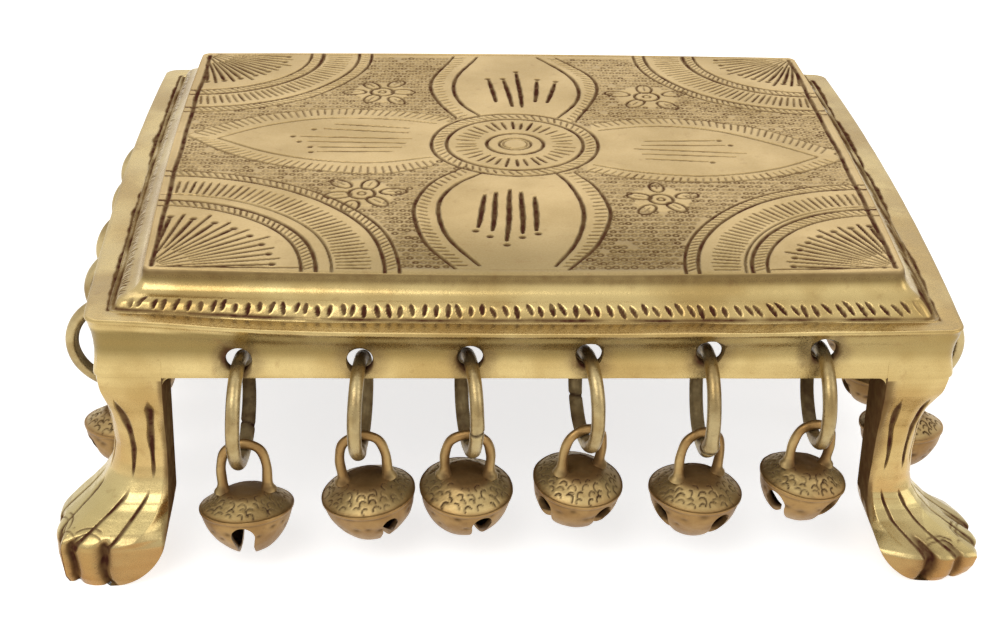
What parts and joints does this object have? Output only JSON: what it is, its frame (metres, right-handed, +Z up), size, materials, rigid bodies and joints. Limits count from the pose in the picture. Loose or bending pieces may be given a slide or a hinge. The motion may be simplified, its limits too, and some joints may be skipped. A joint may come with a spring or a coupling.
{
  "type": "low table with bells",
  "caption": "Low cast brass ritual table: raised slab top on four paw feet, small bells on rings along the apron.",
  "frame": {"origin": "on the ground under the middle of the table", "axes": "+Z up, +X along the wide front towards the right, -Y out of the front"},
  "size_m": [0.172, 0.1532, 0.0565],
  "materials": {
    "casting_brass": "satin antique brass, brown patina in the recesses",
    "ring_brass": "drawn wire, dull antique brass",
    "bell_brass": "rough cast, brown antique brass"
  },
  "bodies": {
    "table": {"table_casting": "casting_brass"},
    "ring_front_1": {"ring_front_1": "ring_brass"},
    "bell_front_1": {"bell_front_1": "bell_brass"},
    "ring_front_2": {"ring_front_2": "ring_brass"},
    "bell_front_2": {"bell_front_2": "bell_brass"},
    "ring_front_3": {"ring_front_3": "ring_brass"},
    "bell_front_3": {"bell_front_3": "bell_brass"},
    "ring_front_4": {"ring_front_4": "ring_brass"},
    "bell_front_4": {"bell_front_4": "bell_brass"},
    "ring_front_5": {"ring_front_5": "ring_brass"},
    "bell_front_5": {"bell_front_5": "bell_brass"},
    "ring_front_6": {"ring_front_6": "ring_brass"},
    "bell_front_6": {"bell_front_6": "bell_brass"},
    "ring_right_1": {"ring_right_1": "ring_brass"},
    "bell_right_1": {"bell_right_1": "bell_brass"},
    "ring_right_2": {"ring_right_2": "ring_brass"},
    "bell_right_2": {"bell_right_2": "bell_brass"},
    "ring_right_3": {"ring_right_3": "ring_brass"},
    "bell_right_3": {"bell_right_3": "bell_brass"},
    "ring_right_4": {"ring_right_4": "ring_brass"},
    "bell_right_4": {"bell_right_4": "bell_brass"},
    "ring_right_5": {"ring_right_5": "ring_brass"},
    "bell_right_5": {"bell_right_5": "bell_brass"},
    "ring_back_1": {"ring_back_1": "ring_brass"},
    "bell_back_1": {"bell_back_1": "bell_brass"},
    "ring_back_2": {"ring_back_2": "ring_brass"},
    "bell_back_2": {"bell_back_2": "bell_brass"},
    "ring_back_3": {"ring_back_3": "ring_brass"},
    "bell_back_3": {"bell_back_3": "bell_brass"},
    "ring_back_4": {"ring_back_4": "ring_brass"},
    "bell_back_4": {"bell_back_4": "bell_brass"},
    "ring_back_5": {"ring_back_5": "ring_brass"},
    "bell_back_5": {"bell_back_5": "bell_brass"},
    "ring_back_6": {"ring_back_6": "ring_brass"},
    "bell_back_6": {"bell_back_6": "bell_brass"},
    "ring_left_1": {"ring_left_1": "ring_brass"},
    "bell_left_1": {"bell_left_1": "bell_brass"},
    "ring_left_2": {"ring_left_2": "ring_brass"},
    "bell_left_2": {"bell_left_2": "bell_brass"},
    "ring_left_3": {"ring_left_3": "ring_brass"},
    "bell_left_3": {"bell_left_3": "bell_brass"},
    "ring_left_4": {"ring_left_4": "ring_brass"},
    "bell_left_4": {"bell_left_4": "bell_brass"},
    "ring_left_5": {"ring_left_5": "ring_brass"},
    "bell_left_5": {"bell_left_5": "bell_brass"}
  },
  "joints": [
    {"name": "swing_front_1", "type": "hinge", "parent": "table", "child": "ring_front_1", "pos_m": [-0.05129, -0.0659, 0.0395], "axis": [-1, 0, 0], "range_deg": [-20, 30]},
    {"name": "tilt_front_1", "type": "hinge", "parent": "ring_front_1", "child": "bell_front_1", "pos_m": [-0.05129, -0.0659, 0.02276], "axis": [0, -1, 0], "range_deg": [-10, 10]},
    {"name": "swing_front_2", "type": "hinge", "parent": "table", "child": "ring_front_2", "pos_m": [-0.02987, -0.0659, 0.0395], "axis": [-1, 0, 0], "range_deg": [-20, 30]},
    {"name": "tilt_front_2", "type": "hinge", "parent": "ring_front_2", "child": "bell_front_2", "pos_m": [-0.02987, -0.0659, 0.02417], "axis": [0, -1, 0], "range_deg": [-10, 10]},
    {"name": "swing_front_3", "type": "hinge", "parent": "table", "child": "ring_front_3", "pos_m": [-0.0103, -0.0659, 0.04001], "axis": [-1, 0, 0], "range_deg": [-20, 30]},
    {"name": "tilt_front_3", "type": "hinge", "parent": "ring_front_3", "child": "bell_front_3", "pos_m": [-0.0103, -0.0659, 0.02467], "axis": [0, -1, 0], "range_deg": [-10, 10]},
    {"name": "swing_front_4", "type": "hinge", "parent": "table", "child": "ring_front_4", "pos_m": [0.01092, -0.0659, 0.0406], "axis": [-1, 0, 0], "range_deg": [-20, 30]},
    {"name": "tilt_front_4", "type": "hinge", "parent": "ring_front_4", "child": "bell_front_4", "pos_m": [0.01092, -0.0659, 0.02547], "axis": [0, -1, 0], "range_deg": [-10, 10]},
    {"name": "swing_front_5", "type": "hinge", "parent": "table", "child": "ring_front_5", "pos_m": [0.03245, -0.0659, 0.04111], "axis": [-1, 0, 0], "range_deg": [-20, 30]},
    {"name": "tilt_front_5", "type": "hinge", "parent": "ring_front_5", "child": "bell_front_5", "pos_m": [0.03245, -0.0659, 0.02498], "axis": [0, -1, 0], "range_deg": [-10, 10]},
    {"name": "swing_front_6", "type": "hinge", "parent": "table", "child": "ring_front_6", "pos_m": [0.05305, -0.0659, 0.04148], "axis": [-1, 0, 0], "range_deg": [-20, 30]},
    {"name": "tilt_front_6", "type": "hinge", "parent": "ring_front_6", "child": "bell_front_6", "pos_m": [0.05305, -0.0659, 0.02554], "axis": [0, -1, 0], "range_deg": [-10, 10]},
    {"name": "swing_right_1", "type": "hinge", "parent": "table", "child": "ring_right_1", "pos_m": [0.0759, -0.0408, 0.0395], "axis": [0, -1, 0], "range_deg": [-20, 30]},
    {"name": "tilt_right_1", "type": "hinge", "parent": "ring_right_1", "child": "bell_right_1", "pos_m": [0.0759, -0.0408, 0.02397], "axis": [1, 0, 0], "range_deg": [-10, 10]},
    {"name": "swing_right_2", "type": "hinge", "parent": "table", "child": "ring_right_2", "pos_m": [0.0759, -0.01999, 0.03973], "axis": [0, -1, 0], "range_deg": [-20, 30]},
    {"name": "tilt_right_2", "type": "hinge", "parent": "ring_right_2", "child": "bell_right_2", "pos_m": [0.0759, -0.01999, 0.025], "axis": [1, 0, 0], "range_deg": [-10, 10]},
    {"name": "swing_right_3", "type": "hinge", "parent": "table", "child": "ring_right_3", "pos_m": [0.0759, 0, 0.03996], "axis": [0, -1, 0], "range_deg": [-20, 30]},
    {"name": "tilt_right_3", "type": "hinge", "parent": "ring_right_3", "child": "bell_right_3", "pos_m": [0.0759, 0, 0.02463], "axis": [1, 0, 0], "range_deg": [-10, 10]},
    {"name": "swing_right_4", "type": "hinge", "parent": "table", "child": "ring_right_4", "pos_m": [0.0759, 0.01999, 0.03973], "axis": [0, -1, 0], "range_deg": [-20, 30]},
    {"name": "tilt_right_4", "type": "hinge", "parent": "ring_right_4", "child": "bell_right_4", "pos_m": [0.0759, 0.01999, 0.0252], "axis": [1, 0, 0], "range_deg": [-10, 10]},
    {"name": "swing_right_5", "type": "hinge", "parent": "table", "child": "ring_right_5", "pos_m": [0.0759, 0.0408, 0.0395], "axis": [0, -1, 0], "range_deg": [-20, 30]},
    {"name": "tilt_right_5", "type": "hinge", "parent": "ring_right_5", "child": "bell_right_5", "pos_m": [0.0759, 0.0408, 0.02417], "axis": [1, 0, 0], "range_deg": [-10, 10]},
    {"name": "swing_back_1", "type": "hinge", "parent": "table", "child": "ring_back_1", "pos_m": [0.05129, 0.0659, 0.0395], "axis": [1, 0, 0], "range_deg": [-20, 30]},
    {"name": "tilt_back_1", "type": "hinge", "parent": "ring_back_1", "child": "bell_back_1", "pos_m": [0.05129, 0.0659, 0.02276], "axis": [0, 1, 0], "range_deg": [-10, 10]},
    {"name": "swing_back_2", "type": "hinge", "parent": "table", "child": "ring_back_2", "pos_m": [0.02987, 0.0659, 0.0395], "axis": [1, 0, 0], "range_deg": [-20, 30]},
    {"name": "tilt_back_2", "type": "hinge", "parent": "ring_back_2", "child": "bell_back_2", "pos_m": [0.02987, 0.0659, 0.02417], "axis": [0, 1, 0], "range_deg": [-10, 10]},
    {"name": "swing_back_3", "type": "hinge", "parent": "table", "child": "ring_back_3", "pos_m": [0.0103, 0.0659, 0.04001], "axis": [1, 0, 0], "range_deg": [-20, 30]},
    {"name": "tilt_back_3", "type": "hinge", "parent": "ring_back_3", "child": "bell_back_3", "pos_m": [0.0103, 0.0659, 0.02467], "axis": [0, 1, 0], "range_deg": [-10, 10]},
    {"name": "swing_back_4", "type": "hinge", "parent": "table", "child": "ring_back_4", "pos_m": [-0.01092, 0.0659, 0.0406], "axis": [1, 0, 0], "range_deg": [-20, 30]},
    {"name": "tilt_back_4", "type": "hinge", "parent": "ring_back_4", "child": "bell_back_4", "pos_m": [-0.01092, 0.0659, 0.02547], "axis": [0, 1, 0], "range_deg": [-10, 10]},
    {"name": "swing_back_5", "type": "hinge", "parent": "table", "child": "ring_back_5", "pos_m": [-0.03245, 0.0659, 0.04111], "axis": [1, 0, 0], "range_deg": [-20, 30]},
    {"name": "tilt_back_5", "type": "hinge", "parent": "ring_back_5", "child": "bell_back_5", "pos_m": [-0.03245, 0.0659, 0.02498], "axis": [0, 1, 0], "range_deg": [-10, 10]},
    {"name": "swing_back_6", "type": "hinge", "parent": "table", "child": "ring_back_6", "pos_m": [-0.05305, 0.0659, 0.04148], "axis": [1, 0, 0], "range_deg": [-20, 30]},
    {"name": "tilt_back_6", "type": "hinge", "parent": "ring_back_6", "child": "bell_back_6", "pos_m": [-0.05305, 0.0659, 0.02554], "axis": [0, 1, 0], "range_deg": [-10, 10]},
    {"name": "swing_left_1", "type": "hinge", "parent": "table", "child": "ring_left_1", "pos_m": [-0.0759, 0.0408, 0.0395], "axis": [0, 1, 0], "range_deg": [-20, 30]},
    {"name": "tilt_left_1", "type": "hinge", "parent": "ring_left_1", "child": "bell_left_1", "pos_m": [-0.0759, 0.0408, 0.02397], "axis": [-1, 0, 0], "range_deg": [-10, 10]},
    {"name": "swing_left_2", "type": "hinge", "parent": "table", "child": "ring_left_2", "pos_m": [-0.0759, 0.01999, 0.03973], "axis": [0, 1, 0], "range_deg": [-20, 30]},
    {"name": "tilt_left_2", "type": "hinge", "parent": "ring_left_2", "child": "bell_left_2", "pos_m": [-0.0759, 0.01999, 0.025], "axis": [-1, 0, 0], "range_deg": [-10, 10]},
    {"name": "swing_left_3", "type": "hinge", "parent": "table", "child": "ring_left_3", "pos_m": [-0.0759, 0, 0.03996], "axis": [0, 1, 0], "range_deg": [-20, 30]},
    {"name": "tilt_left_3", "type": "hinge", "parent": "ring_left_3", "child": "bell_left_3", "pos_m": [-0.0759, 0, 0.02463], "axis": [-1, 0, 0], "range_deg": [-10, 10]},
    {"name": "swing_left_4", "type": "hinge", "parent": "table", "child": "ring_left_4", "pos_m": [-0.0759, -0.01999, 0.03973], "axis": [0, 1, 0], "range_deg": [-20, 30]},
    {"name": "tilt_left_4", "type": "hinge", "parent": "ring_left_4", "child": "bell_left_4", "pos_m": [-0.0759, -0.01999, 0.0252], "axis": [-1, 0, 0], "range_deg": [-10, 10]},
    {"name": "swing_left_5", "type": "hinge", "parent": "table", "child": "ring_left_5", "pos_m": [-0.0759, -0.0408, 0.0395], "axis": [0, 1, 0], "range_deg": [-20, 30]},
    {"name": "tilt_left_5", "type": "hinge", "parent": "ring_left_5", "child": "bell_left_5", "pos_m": [-0.0759, -0.0408, 0.02417], "axis": [-1, 0, 0], "range_deg": [-10, 10]}
  ]
}
